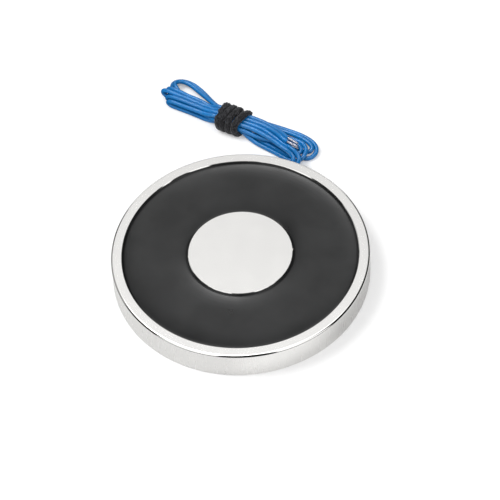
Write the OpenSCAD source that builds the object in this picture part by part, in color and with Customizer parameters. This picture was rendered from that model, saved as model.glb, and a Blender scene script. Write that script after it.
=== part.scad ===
// Round holding electromagnet, lying on its back, with its two leads in a tied hank.
// The back face lies on z = 0, the pole face looks up and the axis is Z. Millimetres.

/* [Pot] */
// Outer diameter of the steel pot
pot_d = 100; // [90:1:130]
// Height of the pot from back face to pole face
pot_h = 12; // [11.5:0.5:18]
// Width of the ring-shaped pole face
rim_w = 4.35; // [3:0.05:6]
// Diameter of the centre pole
core_d = 40.7; // [32:0.1:46]
// Thickness of the back plate
base_t = 3.6; // [2.5:0.1:4]
// Round on the outer edge of the pole face
face_round = 0.9; // [0.2:0.1:1.5]
// Round on the outer edge of the back face
back_round = 0.7; // [0.2:0.1:1.5]
// Chamfer on the two groove edges of the pole face
edge_break = 0.3; // [0.1:0.05:0.35]

/* [Mounting hole] */
// Tapping diameter of the M8 thread in the back
tap_drill_d = 6.8; // [4.2:0.1:8.5]
// Depth of the hole's straight wall
tap_depth = 8; // [5:0.5:8.5]
// Diameter of the countersink at its mouth
sink_d = 8.6; // [8.6:0.1:11]

/* [Coil] */
// Thickness of the insulating washer on the groove floor
insulator_t = 0.25; // [0.1:0.05:0.5]
// Gap from the washer's rim to the pot wall
insulator_gap = 0.3; // [0.1:0.05:0.8]
// Clearance of the bobbin on the centre pole
bobbin_clear = 0.2; // [0.1:0.05:0.5]
// Wall of the bobbin's tube
bobbin_wall = 1; // [0.6:0.1:2]
// Thickness of the bobbin's flanges
flange_t = 0.9; // [0.8:0.05:1.1]
// Gap from the flange rims to the pot wall
flange_gap = 1.05; // [0.8:0.05:1.5]
// Diameter of the enamelled wire
wire_d = 0.45; // [0.3:0.05:0.6]
// Thickness of the tape round the winding
tape_t = 0.2; // [0.1:0.05:0.4]
// Ring of free space between tape and flange rims, for the joints
joint_space = 4.1; // [3.6:0.1:6]
// Depth of the start tail's groove in the upper flange
tail_groove = 0.55; // [0.3:0.05:0.6]

/* [Joints and leads] */
// Outer diameter of a lead
lead_d = 1.8; // [1.4:0.1:2]
// Web of rubber between the two leads
lead_web = 0.3; // [0.2:0.05:0.6]
// Azimuth at which the leads leave the wall
lead_az = 63; // [55:1:70]
// Diameter of a soldered joint
splice_d = 1.3; // [1:0.1:1.4]
// Length of a soldered joint
splice_len = 5; // [3:0.5:6]
// Wall of the shrunk sleeve over a joint
sleeve_t = 0.4; // [0.2:0.05:0.5]
// Length of the shrunk sleeve
sleeve_len = 12; // [9:0.5:13]
// Diameter of the sleeving on the two tails
sleeving_d = 0.9; // [0.7:0.05:1]
// Distance along the wall from the lead hole to a sleeve's near end
joint_away = 7; // [6.5:0.5:9]
// Distance along the wall from a joint's middle to where its tail leaves the coil
tail_away = 10; // [9.5:0.5:12]

/* [Grommet] */
// Diameter of the lead hole in the wall
lead_hole_d = 5; // [4.6:0.1:5.4]
// Diameter of the collar outside the wall
collar_d = 6.6; // [6:0.1:7]
// How far the collar stands out of the wall
collar_t = 1.1; // [0.6:0.1:1.6]
// Diameter of the lip inside the wall
lip_d = 6.2; // [5.8:0.1:6.6]
// Thickness of the lip
lip_t = 0.6; // [0.4:0.1:0.8]

/* [Potting] */
// Depth of the resin's level surface below the pole face
fill_drop = 1.1; // [1:0.05:1.3]
// Resin between the upper flange and the level surface
fill_cover = 0.95; // [0.7:0.05:1.2]
// Height of the resin's broad rise towards the walls
broad_rise = 0.35; // [0.1:0.05:0.4]
// Height of its steep rise at the walls
steep_rise = 0.35; // [0.1:0.05:0.35]

/* [Hidden] */
$fn = 96;
cut = 0.5;

// The pot's groove
pot_r = pot_d / 2;
groove_r = pot_r - rim_w;
core_r = core_d / 2;
sink_depth = (sink_d - tap_drill_d) / 2;
drill_tip = tap_drill_d / 2 / tan(59);

// The bobbin stands on the washer and ends below the resin's level surface
bobbin_z = base_t + insulator_t;
flange_z = pot_h - fill_drop - fill_cover;
window_z = bobbin_z + flange_t;
window_h = flange_z - flange_t - window_z;
bore_r = core_r + bobbin_clear;
tube_r = bore_r + bobbin_wall;
flange_r = groove_r - flange_gap;
tape_r = flange_r - joint_space;
coil_r = tape_r - tape_t;
layer_turns = floor(window_h / wire_d);
turn_pitch = window_h / layer_turns;

// The joints lie on a ring just outside the tape, level with the lead hole
sleeve_d = lead_d + 2 * sleeve_t;
joint_r = tape_r + sleeve_d / 2 + 0.1;
joint_z = window_z + window_h / 2;
lead_gap = lead_d + lead_web;
lead_bend = groove_r - lip_t - joint_r;
splice_run = sleeve_len / 2 + joint_away;
splice_turn = splice_run / joint_r * 180 / PI;

// The start tail climbs beside the tube, crosses the upper flange and drops at its rim
tail_turn = (splice_run + tail_away) / joint_r * 180 / PI;
tail_up_r = tube_r + 2 / 3 * sleeving_d;
tail_down_r = flange_r - 4 / 3 * sleeving_d;
tail_z = flange_z - tail_groove + sleeving_d / 2;
tail_slot = 4 / 3 * sleeving_d;

// The leads' route from the wall into the hank, one list for each lead
lead_a_free = [[23, 47.6, 6.8], [23.5, 49.8, 6.4], [23.2, 52.2, 5.4], [21.8, 55.4, 4.2]];
lead_b_free = [[24.9, 46.6, 6.8], [25.6, 49, 6.4], [25.5, 51.6, 5.4], [24.4, 55, 4.2]];

// The hank: its middle under the tie, its direction, and its outline in its own axes
hank_at = [0.75, 75.3, 0];
hank_turn = -31;
hank_h = 5.4;
waist_w = 8;
waist_h = 4.8;
waist_len = 24;
waist_off = -0.5;
tie_t = 1.4;
tie_turns = 4;
tie_pitch = 3.4;
tie_gap = 0.05;
tie_z = tie_t + tie_gap + waist_h / 2;
tip_d = 1;
tip_len = 5;

// A point given by azimuth, distance from the axis, offset along the tangent, and height
function at(az, r, along, z) =
    [r * cos(az) - along * sin(az), r * sin(az) + along * cos(az), z];

function unit(v) = v / norm(v);

function heading(path, i) = unit(path[min(i + 1, len(path) - 1)] - path[max(i - 1, 0)]);

// A direction across the path at point i, carried along it without twist
function across(path, i) =
    let (t = heading(path, i))
    let (u = i == 0 ? cross(t, abs(t.z) < 0.9 ? [0, 0, 1] : [1, 0, 0]) : across(path, i - 1))
    unit(u - (u * t) * t);

// A round wire or sleeve along a path of points
module tube(path, d, sides = 8) {
    rings = len(path);
    points = [
        for (i = [0 : rings - 1])
        let (u = across(path, i), v = cross(heading(path, i), u))
        for (k = [0 : sides - 1])
        let (a = 360 / sides * (k + 0.5))
        path[i] + d / 2 * (cos(a) * u + sin(a) * v)
    ];
    walls = [
        for (i = [0 : rings - 2], k = [0 : sides - 1])
        let (p = i * sides + k, q = i * sides + (k + 1) % sides)
        each [[p, p + sides, q], [q, p + sides, q + sides]]
    ];
    ends = [
        [for (k = [0 : sides - 1]) k],
        [for (k = [sides - 1 : -1 : 0]) (rings - 1) * sides + k]
    ];
    polyhedron(points, concat(walls, ends));
}

// Puts a shape that is drawn along +X at the lead hole
module at_lead_hole() {
    rotate([0, 0, lead_az]) translate([0, 0, joint_z]) rotate([0, 90, 0]) children();
}

// Puts a shape that is drawn along +Z on the joint ring, on either side of the lead hole
module at_splice(side) {
    rotate([0, 0, lead_az + side * splice_turn])
        translate([joint_r, 0, joint_z])
            rotate([-90 * side, 0, 0]) children();
}

// The material outside a round of radius r, for the corner at the origin of +X +Y
module corner_round(r) {
    difference() {
        translate([-r, -r]) square(r + cut);
        translate([-r, -r]) circle(r);
        translate([-r - cut, -2 * r]) square([cut, 2 * r]);
    }
}

module housing_section() {
    difference() {
        square([pot_r, pot_h]);
        translate([core_r, base_t]) square([groove_r - core_r, pot_h]);
        translate([pot_r, pot_h]) corner_round(face_round);
        translate([pot_r, 0]) mirror([0, 1]) corner_round(back_round);
        for (r = [core_r, groove_r])
            translate([r, pot_h]) rotate(45) square(edge_break * sqrt(2), center = true);
    }
}

// The tapped hole, its countersink and the cone that the drill leaves
module mounting_hole() {
    translate([0, 0, -cut]) cylinder(d = tap_drill_d, h = tap_depth + cut);
    translate([0, 0, -cut])
        cylinder(d1 = sink_d + 2 * cut, d2 = tap_drill_d, h = sink_depth + cut);
    translate([0, 0, tap_depth]) cylinder(d1 = tap_drill_d, d2 = 0, h = drill_tip);
}

// One turned piece: ring pole, back plate and centre pole
module housing() {
    color("gainsboro") difference() {
        rotate_extrude() housing_section();
        mounting_hole();
        at_lead_hole() translate([0, 0, core_r + rim_w]) cylinder(d = lead_hole_d, h = pot_r);
    }
}

module base_insulator() {
    color("ivory") translate([0, 0, base_t]) difference() {
        cylinder(r = groove_r - insulator_gap, h = insulator_t);
        translate([0, 0, -cut]) cylinder(r = bore_r, h = insulator_t + 2 * cut);
    }
}

module bobbin_section() {
    translate([bore_r, bobbin_z]) square([bobbin_wall, flange_z - bobbin_z]);
    for (z = [bobbin_z, flange_z - flange_t])
        translate([bore_r, z]) square([flange_r - bore_r, flange_t]);
}

// The upper flange has a slot at the tube, a groove across and a notch at the rim
module bobbin() {
    color("oldlace") difference() {
        rotate_extrude() bobbin_section();
        rotate([0, 0, lead_az + tail_turn]) {
            translate([tube_r, -tail_slot / 2, flange_z - tail_groove])
                cube([flange_r, tail_slot, flange_t]);
            translate([tube_r, -tail_slot / 2, window_z + window_h - cut])
                cube([4 / 3 * tail_slot, tail_slot, flange_t + 2 * cut]);
            translate([tail_down_r - tail_slot, -tail_slot / 2, window_z + window_h - cut])
                cube([flange_r, tail_slot, flange_t + 2 * cut]);
        }
    }
}

// The two ends of the coil's wire, from inside the coil to their soldered joints
start_tail = [
    at(lead_az + tail_turn, tail_up_r, 0, flange_z - flange_t - 2 * wire_d),
    at(lead_az + tail_turn, tail_up_r, 0, tail_z - 0.4),
    at(lead_az + tail_turn, tail_up_r + 0.7, 0, tail_z),
    at(lead_az + tail_turn, tail_up_r + 2, 0, tail_z),
    at(lead_az + tail_turn, tail_down_r - 1, 0, tail_z),
    at(lead_az + tail_turn, tail_down_r, 0, tail_z - 0.8),
    at(lead_az + tail_turn, tail_down_r, -0.5, joint_z + 1.2),
    at(lead_az + tail_turn, tail_down_r - 0.1, -1.8, joint_z + 0.2),
    at(lead_az + splice_turn, joint_r, sleeve_len / 2 + 0.8, joint_z),
    at(lead_az + splice_turn, joint_r, sleeve_len / 2 - 0.5, joint_z),
    at(lead_az + splice_turn, joint_r, splice_len / 2, joint_z)
];
finish_tail = [
    at(lead_az - tail_turn, coil_r - 3 * wire_d, -1.6, joint_z),
    at(lead_az - tail_turn, coil_r - wire_d, -1.2, joint_z),
    at(lead_az - tail_turn, tape_r + 0.6, 0, joint_z),
    at(lead_az - tail_turn, joint_r - 0.2, 2, joint_z),
    at(lead_az - splice_turn, joint_r, -sleeve_len / 2 - 0.8, joint_z),
    at(lead_az - splice_turn, joint_r, -sleeve_len / 2 + 0.5, joint_z),
    at(lead_az - splice_turn, joint_r, -splice_len / 2, joint_z)
];
// Past its first point each tail is outside the coil, and past its third it wears sleeving
start_outside = [for (i = [1 : len(start_tail) - 1]) start_tail[i]];
finish_outside = [for (i = [1 : len(finish_tail) - 1]) finish_tail[i]];
start_sleeved = [for (i = [3 : len(start_tail) - 1]) start_tail[i]];
finish_sleeved = [for (i = [3 : len(finish_tail) - 1]) finish_tail[i]];

// The turns of the outer layer show as ridges, and both tails are the same wire
module winding() {
    color("peru") {
        rotate_extrude() {
            translate([tube_r, window_z])
                square([coil_r - turn_pitch / 2 - tube_r, window_h]);
            for (i = [0 : layer_turns - 1])
                translate([coil_r - turn_pitch / 2, window_z + (i + 0.5) * turn_pitch])
                    circle(d = turn_pitch, $fn = 24);
        }
        tube(start_tail, wire_d);
        tube(finish_tail, wire_d);
    }
}

module winding_tape() {
    color("goldenrod") difference() {
        translate([0, 0, window_z]) cylinder(r = tape_r, h = window_h);
        translate([0, 0, window_z - cut]) cylinder(r = coil_r, h = window_h + 2 * cut);
        tube(finish_tail, wire_d);
    }
}

module start_tail_sleeving() {
    color("lightyellow") difference() {
        tube(start_sleeved, sleeving_d);
        tube(start_tail, wire_d);
    }
}

module finish_tail_sleeving() {
    color("lightyellow") difference() {
        tube(finish_sleeved, sleeving_d);
        tube(finish_tail, wire_d);
    }
}

// A soldered joint between a lead's strands and a tail, tapered at both ends
module splice(side) {
    taper = 0.6;
    color("silver") at_splice(side) translate([0, 0, -splice_len / 2]) {
        cylinder(d1 = lead_d / 2, d2 = splice_d, h = taper);
        translate([0, 0, taper]) cylinder(d = splice_d, h = splice_len - 2 * taper);
        translate([0, 0, splice_len - taper]) cylinder(d1 = splice_d, d2 = sleeving_d, h = taper);
    }
}

module start_splice() { splice(1); }
module finish_splice() { splice(-1); }

// Bored for the lead at one end, the joint in the middle and the sleeving at the other
module splice_sleeve(side) {
    end = (sleeve_len - splice_len) / 2;
    color("dimgray") at_splice(side) translate([0, 0, -sleeve_len / 2]) difference() {
        cylinder(d = sleeve_d, h = sleeve_len);
        translate([0, 0, -cut]) cylinder(d = lead_d, h = end + cut);
        translate([0, 0, end]) cylinder(d = splice_d, h = splice_len);
        translate([0, 0, end + splice_len]) cylinder(d = sleeving_d, h = end + cut);
    }
}

module start_splice_sleeve() { splice_sleeve(1); }
module finish_splice_sleeve() { splice_sleeve(-1); }

// A rubber bush with a lip inside the wall, a collar outside and a bore for each lead
module grommet() {
    collar_slope = 0.4 * collar_t;
    color("darkslategray") difference() {
        union() {
            at_lead_hole() translate([0, 0, groove_r - lip_t])
                cylinder(d = lead_hole_d, h = rim_w + lip_t + collar_t);
            intersection() {
                at_lead_hole() translate([0, 0, groove_r - lip_t])
                    cylinder(d = lip_d, h = lip_t + cut);
                cylinder(r = groove_r, h = pot_h);
            }
            difference() {
                at_lead_hole() translate([0, 0, pot_r - cut]) {
                    cylinder(d = collar_d, h = cut + collar_t - collar_slope);
                    translate([0, 0, cut + collar_t - collar_slope])
                        cylinder(d1 = collar_d, d2 = lead_hole_d, h = collar_slope);
                }
                cylinder(r = pot_r, h = pot_h);
            }
        }
        for (side = [-1, 1])
            at_lead_hole() translate([0, side * lead_gap / 2, 0]) cylinder(d = lead_d, h = 2 * pot_r);
    }
}

// A lead's own stretch inside: from its joint, round a quarter bend and out of the grommet
function lead_inside(side) = concat(
    [
        at(lead_az + side * splice_turn, joint_r, -side * splice_len / 2, joint_z),
        at(lead_az + side * splice_turn, joint_r, -side * (sleeve_len / 2 + 0.2), joint_z)
    ],
    [
        for (turn = [90 : -22.5 : 0])
        at(
            lead_az,
            joint_r + lead_bend * (1 - sin(turn)),
            side * (lead_gap / 2 + lead_bend * (1 - cos(turn))),
            joint_z
        )
    ],
    [at(lead_az, pot_r + collar_t, side * lead_gap / 2, joint_z)]
);

module lead(side, free) {
    color("dodgerblue") difference() {
        tube(concat(lead_inside(side), free), lead_d);
        lead_hank();
    }
}

module lead_a() { lead(1, lead_a_free); }
module lead_b() { lead(-1, lead_b_free); }

// The resin's surface is level in the middle and climbs both walls of the groove
function fill_level(from_wall) =
    pot_h - fill_drop + broad_rise * exp(-from_wall / 2.2) + steep_rise * exp(-from_wall / 0.35);

module potting_section() {
    steps = [0, 0.15, 0.35, 0.65, 1.1, 1.8, 2.8, 4.2, 6.2];
    last = len(steps) - 1;
    polygon(concat(
        [[core_r, base_t], [groove_r, base_t]],
        [for (d = steps) [groove_r - d, fill_level(d)]],
        [for (i = [last : -1 : 0]) [core_r + steps[i], fill_level(steps[i])]]
    ));
}

// The coil's whole space, reaching into the bobbin so that no skin is left between them
module coil_space() {
    inner = bore_r + bobbin_wall / 2;
    floor_z = bobbin_z + flange_t / 2;
    rotate_extrude() translate([inner, floor_z])
        square([tape_r - inner, window_z + window_h - floor_z]);
}

// The resin fills the groove round everything that lies in it
module potting() {
    color("darkslategray") difference() {
        rotate_extrude() potting_section();
        base_insulator();
        bobbin();
        coil_space();
        for (side = [-1, 1]) {
            at_splice(side) cylinder(d = sleeve_d, h = sleeve_len, center = true);
            tube(lead_inside(side), lead_d);
        }
        tube(start_outside, wire_d);
        tube(finish_outside, wire_d);
        tube(start_sleeved, sleeving_d);
        tube(finish_sleeved, sleeving_d);
        at_lead_hole() translate([0, 0, groove_r - lip_t]) cylinder(d = lip_d, h = rim_w);
    }
}

module in_hank() { translate(hank_at) rotate([0, 0, hank_turn]) children(); }

// A flat-sided oval of the waist's size, grown by a margin
module waist_oval(grow) {
    for (x = [-1, 1]) translate([x * (waist_w - waist_h) / 2, 0]) circle(waist_h / 2 + grow);
    square([waist_w - waist_h, waist_h + 2 * grow], center = true);
}

// Puts a shape drawn along +Z along the hank, with its +X across and its +Y up
module along_hank() { translate([0, waist_off, tie_z]) rotate([90, 0, 90]) children(); }

// The folded leads as one solid: the bundle with its upper loop, the waist and the wide end
module lead_hank() {
    color("dodgerblue") in_hank() {
        linear_extrude(hank_h) hull($fn = 32) {
            translate([-31, 0.8]) circle(3.4);
            translate([-27.6, 7.6]) circle(4.6);
            translate([-12.6, 1]) circle(4.8);
        }
        linear_extrude(hank_h) hull($fn = 32) {
            translate([12.2, -0.2]) circle(4.8);
            translate([28, 2]) circle(4.7);
            translate([34, 0.6]) circle(3.8);
            translate([31.8, -5.2]) circle(2.4);
            translate([24, -5]) circle(2.5);
        }
        along_hank() linear_extrude(waist_len, center = true) waist_oval(0);
    }
}

// The cord's turns side by side, as seen in a cut along the hank
module tie_section() {
    for (i = [0 : tie_turns - 1]) {
        y = (i - (tie_turns - 1) / 2) * tie_pitch;
        translate([waist_h / 2 + tie_gap, y - tie_pitch / 2 + 0.5 * tie_t])
            square([tie_t, tie_pitch - tie_t]);
        for (end = [-1, 1])
            translate([waist_h / 2 + tie_gap + tie_t / 2, y + end * (tie_pitch - 0.9 * tie_t) / 2])
                circle(d = tie_t, $fn = 32);
    }
}

// Turns of black cord round the waist
module hank_tie() {
    flat = waist_w - waist_h;
    color("black") in_hank() along_hank() {
        for (end = [0, 180]) rotate([0, 0, end]) {
            translate([flat / 2, 0, 0]) rotate([0, 0, -90]) rotate_extrude(angle = 180) tie_section();
            translate([-flat / 2, 0, 0]) rotate([90, 0, 90]) linear_extrude(flat) tie_section();
        }
    }
}

// A bared and tinned end, lying on the hank
module lead_tip(start, turn) {
    point = tip_d / 2;
    color("silver") in_hank() translate([start.x, start.y, hank_h + tip_d / 2])
        rotate([0, 90, turn]) {
            cylinder(d = tip_d, h = tip_len - point, $fn = 32);
            translate([0, 0, tip_len - point])
                cylinder(d1 = tip_d, d2 = tip_d / 2, h = point, $fn = 32);
        }
}

module lead_a_tip() { lead_tip([25.4, -0.85], -12); }
module lead_b_tip() { lead_tip([26, -2.7], -8); }

housing();
base_insulator();
bobbin();
winding();
winding_tape();
start_tail_sleeving();
finish_tail_sleeving();
start_splice();
finish_splice();
start_splice_sleeve();
finish_splice_sleeve();
grommet();
potting();
lead_a();
lead_b();
lead_hank();
hank_tie();
lead_a_tip();
lead_b_tip();
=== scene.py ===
import math
import random
import bpy
import numpy as np
from mathutils import Matrix, Vector


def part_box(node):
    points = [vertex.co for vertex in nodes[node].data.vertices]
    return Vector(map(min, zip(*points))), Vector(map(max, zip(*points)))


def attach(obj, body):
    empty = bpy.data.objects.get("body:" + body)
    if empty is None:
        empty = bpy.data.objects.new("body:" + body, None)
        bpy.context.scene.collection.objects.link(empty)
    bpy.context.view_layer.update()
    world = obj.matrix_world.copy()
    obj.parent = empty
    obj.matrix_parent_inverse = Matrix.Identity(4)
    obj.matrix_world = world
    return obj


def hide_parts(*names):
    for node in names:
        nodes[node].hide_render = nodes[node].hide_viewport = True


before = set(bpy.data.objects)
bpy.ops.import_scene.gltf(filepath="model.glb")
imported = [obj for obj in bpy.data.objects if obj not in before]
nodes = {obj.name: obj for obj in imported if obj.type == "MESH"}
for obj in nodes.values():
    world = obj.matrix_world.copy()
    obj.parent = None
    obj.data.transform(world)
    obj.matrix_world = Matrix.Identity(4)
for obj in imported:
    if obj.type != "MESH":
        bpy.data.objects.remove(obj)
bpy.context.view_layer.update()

MM = 0.001

# The pot, in millimetres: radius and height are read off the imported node, the rest is as in the source
POT_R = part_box("housing")[1][0] / MM
POT_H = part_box("housing")[1][2] / MM
RIM_W = 4.35
GROOVE_R = POT_R - RIM_W
CORE_R = 20.35
EDGE_BREAK = 0.3
FACE_ROUND = 0.9
BACK_ROUND = 0.7
BASE_T = 3.6
LEAD_HOLE_D = 5.0
HOLE_R = 3.4
HOLE_DEPTH = 8.0
DRILL_TIP = HOLE_R / math.tan(math.radians(59))
SINK_DEPTH = 0.9
THREAD_PITCH = 1.25

# The resin's surface: its level, and its rise at the walls of the groove and how far that reaches
FILL_DROP = 1.1
BROAD_RISE = 0.35
BROAD_REACH = 2.2
STEEP_RISE = 0.35
STEEP_REACH = 0.35

# The leads: diameter, and where they run inside the pot
LEAD_D = 1.8
LEAD_WEB = 0.3
LEAD_AZ = 63
LEAD_Z = 6.9
JOINT_R = 41.9
JOINT_TURN = 17.78
JOINT_HALF = 2.5
SLEEVE_HALF = 6.2
LEAD_BEND = 3.15
COLLAR_R = 51.1
TIP_D = 1.0
TIP_LEN = 5.0

# The hank's own axes: s along it, t across it towards the back, z up
HANK_AT = (0.75, 75.3)
HANK_TURN = math.radians(-31)
WAIST_W = 8.0
WAIST_H = 4.8
WAIST_OFF = -0.5
TIE_Z = 3.85

# Each lead from the wall to the hank, as in the part's source
FREE_A = [(23, 47.6, 6.8), (23.5, 49.8, 6.4), (23.2, 52.2, 5.4)]
FREE_B = [(24.9, 46.6, 6.8), (25.6, 49, 6.4), (25.5, 51.6, 5.4)]

# Each lead's six passes through the tie, given in the hank's axes
HANK_A = [
    (28.3, -6.2, 4.6), (22.5, -4.6, 5.0), (16, -3.1, 5.1), (10.5, -2.4, 5.3), (6, -2.25, 5.4),
    (0, -2.25, 5.41), (-6, -2.3, 5.0), (-10, -2.5, 3.8), (-15, -2.5, 3.7), (-20, -2.5, 3.6),
    (-26, -2.6, 3.6), (-28.2, -2.6, 3.4), (-29.5, -2.5, 2.3), (-28.2, -2.4, 1.1), (-26, -2.4, 0.9),
    (-20, -2.4, 0.9), (-12, -2.4, 1.0), (-6, -2.25, 2.0), (0, -2.25, 2.29), (5, -2.6, 2.1),
    (9, -3.9, 1.3), (13.7, -5.2, 0.9), (19.6, -6.0, 0.9), (26, -6.8, 0.9), (30.5, -7.2, 1.0),
    (32.6, -6.6, 1.5), (33.9, -4.8, 2.3), (33.9, -2.7, 2.8), (33.0, -0.4, 3.2), (30.5, 1.0, 3.4),
    (26, 1.0, 3.5), (20, 0.0, 3.5), (14, -1.2, 3.6), (8, -1.4, 3.8), (0, -1.35, 3.85),
    (-6, -1.2, 3.6), (-12, -0.2, 2.6), (-18, 0.3, 2.4), (-23, 1.0, 2.5), (-27.3, 3.2, 2.9),
    (-30.2, 5.2, 3.3), (-31.2, 7.0, 3.2), (-30.6, 8.8, 2.8), (-28.4, 10.0, 2.3), (-25, 9.9, 1.9),
    (-21, 8.5, 1.8),
    (-16.5, 6.6, 2.2), (-12, 4.6, 2.7), (-8, 2.8, 3.3), (-5, 1.4, 3.8), (0, 0.45, 3.85), (6, 1.6, 3.8),
    (11, 2.9, 3.2), (17, 3.9, 2.6), (23.3, 4.1, 2.5), (28, 4.0, 2.5), (32.2, 3.2, 2.4),
    (34.7, 1.9, 2.2), (35.2, 0.4, 1.9), (33.6, -0.8, 1.3), (28, -1.6, 0.9), (22, -0.8, 0.9),
    (15, 0.6, 0.9), (10, 2.2, 1.2), (5, 3.1, 2.1), (0, 3.15, 2.29), (-6, 3.1, 1.7),
    (-12, 2.8, 0.9), (-20, 2.7, 0.9), (-26, 2.8, 0.9), (-29.5, 2.9, 0.95), (-31.8, 3.0, 1.6),
    (-32.4, 3.1, 2.9), (-31.2, 3.1, 4.1), (-28.5, 2.9, 4.3), (-24, 2.8, 4.0), (-20, 2.75, 3.8),
    (-15, 2.6, 3.5), (-10.5, 2.3, 3.2), (-7, 2.7, 4.6), (-3, 3.1, 5.3), (2, 3.15, 5.41), (6, 3.0, 5.3),
    (12, 2.8, 5.0), (18, 1.6, 5.1), (22, 0.2, 5.5), (25.4, -0.85, 5.9),
]
HANK_B = [
    (30.7, -5.2, 4.7), (24, -3.1, 5.0), (18.5, -1.4, 5.1), (13, -0.4, 5.2), (6, -0.45, 5.4),
    (0, -0.45, 5.41), (-6, -0.6, 5.1), (-10, -0.9, 4.5), (-15, -0.8, 4.3), (-21, -0.7, 4.2),
    (-27.5, -0.7, 4.1), (-29.6, -0.7, 3.7), (-30.8, -0.7, 2.5), (-29.6, -0.7, 1.2), (-27.5, -0.6, 0.9),
    (-20, -0.6, 0.9), (-12, -0.6, 1.0), (-6, -0.45, 2.0), (0, -0.45, 2.29), (5, -0.8, 2.1),
    (10, -2.3, 1.2), (15, -3.4, 0.9), (20, -4.2, 0.9), (26, -5.0, 0.9), (29.5, -5.1, 1.5),
    (31.6, -3.9, 2.6), (31.9, -2.0, 3.0), (30.2, -0.7, 3.4), (26, -1.0, 3.2), (20, -2.4, 2.8),
    (14, -3.4, 2.8), (8, -3.3, 3.4), (0, -3.15, 3.85), (-6, -2.9, 3.4), (-12, -1.9, 2.4),
    (-18, -1.4, 2.4), (-23, -0.6, 2.4), (-27.5, 2.0, 2.5), (-30.6, 4.8, 2.4), (-32.3, 7.0, 1.8),
    (-31.8, 9.6, 1.2), (-29.2, 11.3, 0.9), (-25, 11.2, 0.9), (-20, 9.6, 0.9), (-15, 7.3, 0.9),
    (-11, 5.4, 1.3), (-7, 3.9, 2.5), (-3, 2.7, 3.6), (0, 2.25, 3.85), (6, 3.0, 3.6), (11, 4.3, 2.6),
    (17, 5.3, 1.9), (23, 5.8, 1.7), (29, 5.6, 1.8), (34, 4.2, 1.8), (36.4, 2.4, 1.5),
    (37, 0.2, 1.2), (36.4, -2.2, 0.95), (34, -4.0, 0.9), (28, -3.9, 0.9), (22, -2.6, 0.9),
    (15, -1.4, 0.9), (10, 0.2, 1.2), (5, 1.3, 2.1), (0, 1.35, 2.29), (-6, 1.35, 2.0),
    (-12, 1.1, 1.0), (-20, 1.0, 0.9), (-27, 1.1, 0.9), (-31, 1.2, 0.95), (-33.2, 1.3, 1.6),
    (-33.8, 1.3, 2.9), (-32.6, 1.3, 4.1), (-30, 1.2, 4.3), (-25, 1.1, 4.0), (-20, 1.0, 3.6),
    (-15, 0.9, 3.7), (-10, 0.9, 4.2), (-6, 1.2, 5.2), (0, 1.35, 5.41), (6, 1.3, 5.4),
    (12, 1.3, 5.3), (18, 0.0, 5.4), (22, -1.4, 5.6), (26, -2.7, 5.9),
]

# The turns of the tie: the angle round the waist from its back edge over its top, and s there
TIE_TURNS = [
    (-75, -4.0), (-20, -4.4), (38, -4.7), (85, -4.6), (135, -4.3), (200, -3.8), (250, -3.5),
    (310, -3.0), (398, -1.7), (445, -2.3), (495, -2.6), (560, -2.0), (610, -1.6), (670, -0.3),
    (758, 1.2), (805, 0.5), (855, 0.1), (920, 0.5), (970, 0.9), (1030, 2.6), (1118, 4.7),
    (1160, 4.1), (1210, 3.2), (1275, 3.3), (1330, 3.9), (1380, 4.5),
]
TIE_HALF_W = 1.48
TIE_HALF_T = 1.12
TIE_GAP = 0.05

# Where the resin has crept over the groove's outer edge: azimuth, half width in degrees, share
CREEPS = [(118.3, 5.4, 0.85), (80, 20, 0.55), (258, 5, 0.3), (20, 8, 0.25)]
# The broad shallow part of the resin's rise at both walls, in metres
MENISCUS_REACH = 0.004
MENISCUS_RISE = 0.00045
OUTER_RISE = 1.3

# The floor: its colour, and the light that it adds for the camera
FLOOR_TONE = 0.78
FLOOR_LIFT = 0.24
# A painted glow on the floor, seen only in reflections: brightest before the pot, a little to the right
MIRRORED_GLOW_AZ = 290
MIRRORED_GLOW_EDGE = math.cos(math.radians(32))
MIRRORED_GLOW_LEVEL = 0.19
# The distances from the middle, in metres, over which the floor darkens in reflections
FLOOR_WHITE_TO = (0.065, 0.085)
# The room's light on matt surfaces: all round, more from above, and more from the front right
ROOM_LEVEL = 0.28
ROOM_TOP = 0.45
ROOM_TOP_FROM = (0.4, 0.95)
FRONT = (300, 25)
FRONT_EDGE = 0.2
FRONT_LEVEL = 0.95
# The room in reflections, where no panel stands
ROOM_DARK = 0.02
# The soft ceiling in reflections: its level at 51.5 degrees up, and its rise with height and to the left
CEILING_LEVEL = 0.95
CEILING_AT = 0.7826
CEILING_RISE = 3.0
CEILING_LEFT = 0.45
# The ceiling's edge leans down to the back
CEILING_EDGE = (0.88, 0.93)
CEILING_LEAN = 0.5
# The ceiling is brighter behind, over the pot, and has two bright lamps: azimuth and elevation
CEILING_BEHIND = 1.3
BEHIND_UP = (0.85, 0.92)
BEHIND_BACK = (0.1, 0.4)
LAMPS = [(130, 70), (190, 74)]
LAMP_LEVEL = 4.5
LAMP_CORE = math.cos(math.radians(8))
LAMP_EDGE = math.cos(math.radians(18))
# Tall pale panels round the object, seen only in reflections: azimuth, half width in degrees, level
PANELS = [(225, 23, 1.25), (313.5, 21.5, 1.25), (90, 25, 1.25), (150, 20, 0.45)]
PANEL_SOFT = 2
# The soft key light: azimuth, elevation, angle across, and the light that it gives to the floor
KEY_AZ = 166
KEY_ELEVATION = 56
KEY_ACROSS = 30
KEY_LEVEL = 0.43


def direction(azimuth, elevation):
    """The unit vector towards an azimuth and an elevation in degrees."""
    az = math.radians(azimuth)
    el = math.radians(elevation)
    return Vector((math.cos(el) * math.cos(az), math.cos(el) * math.sin(az), math.sin(el)))


def from_hank(points):
    """Points in the hank's axes as points in the frame, both in millimetres."""
    points = np.asarray(points, float)
    along = np.array([math.cos(HANK_TURN), math.sin(HANK_TURN), 0])
    across = np.array([-math.sin(HANK_TURN), math.cos(HANK_TURN), 0])
    up = np.array([0, 0, 1.0])
    start = np.array([*HANK_AT, 0])
    return start + points[:, :1] * along + points[:, 1:2] * across + points[:, 2:] * up


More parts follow.
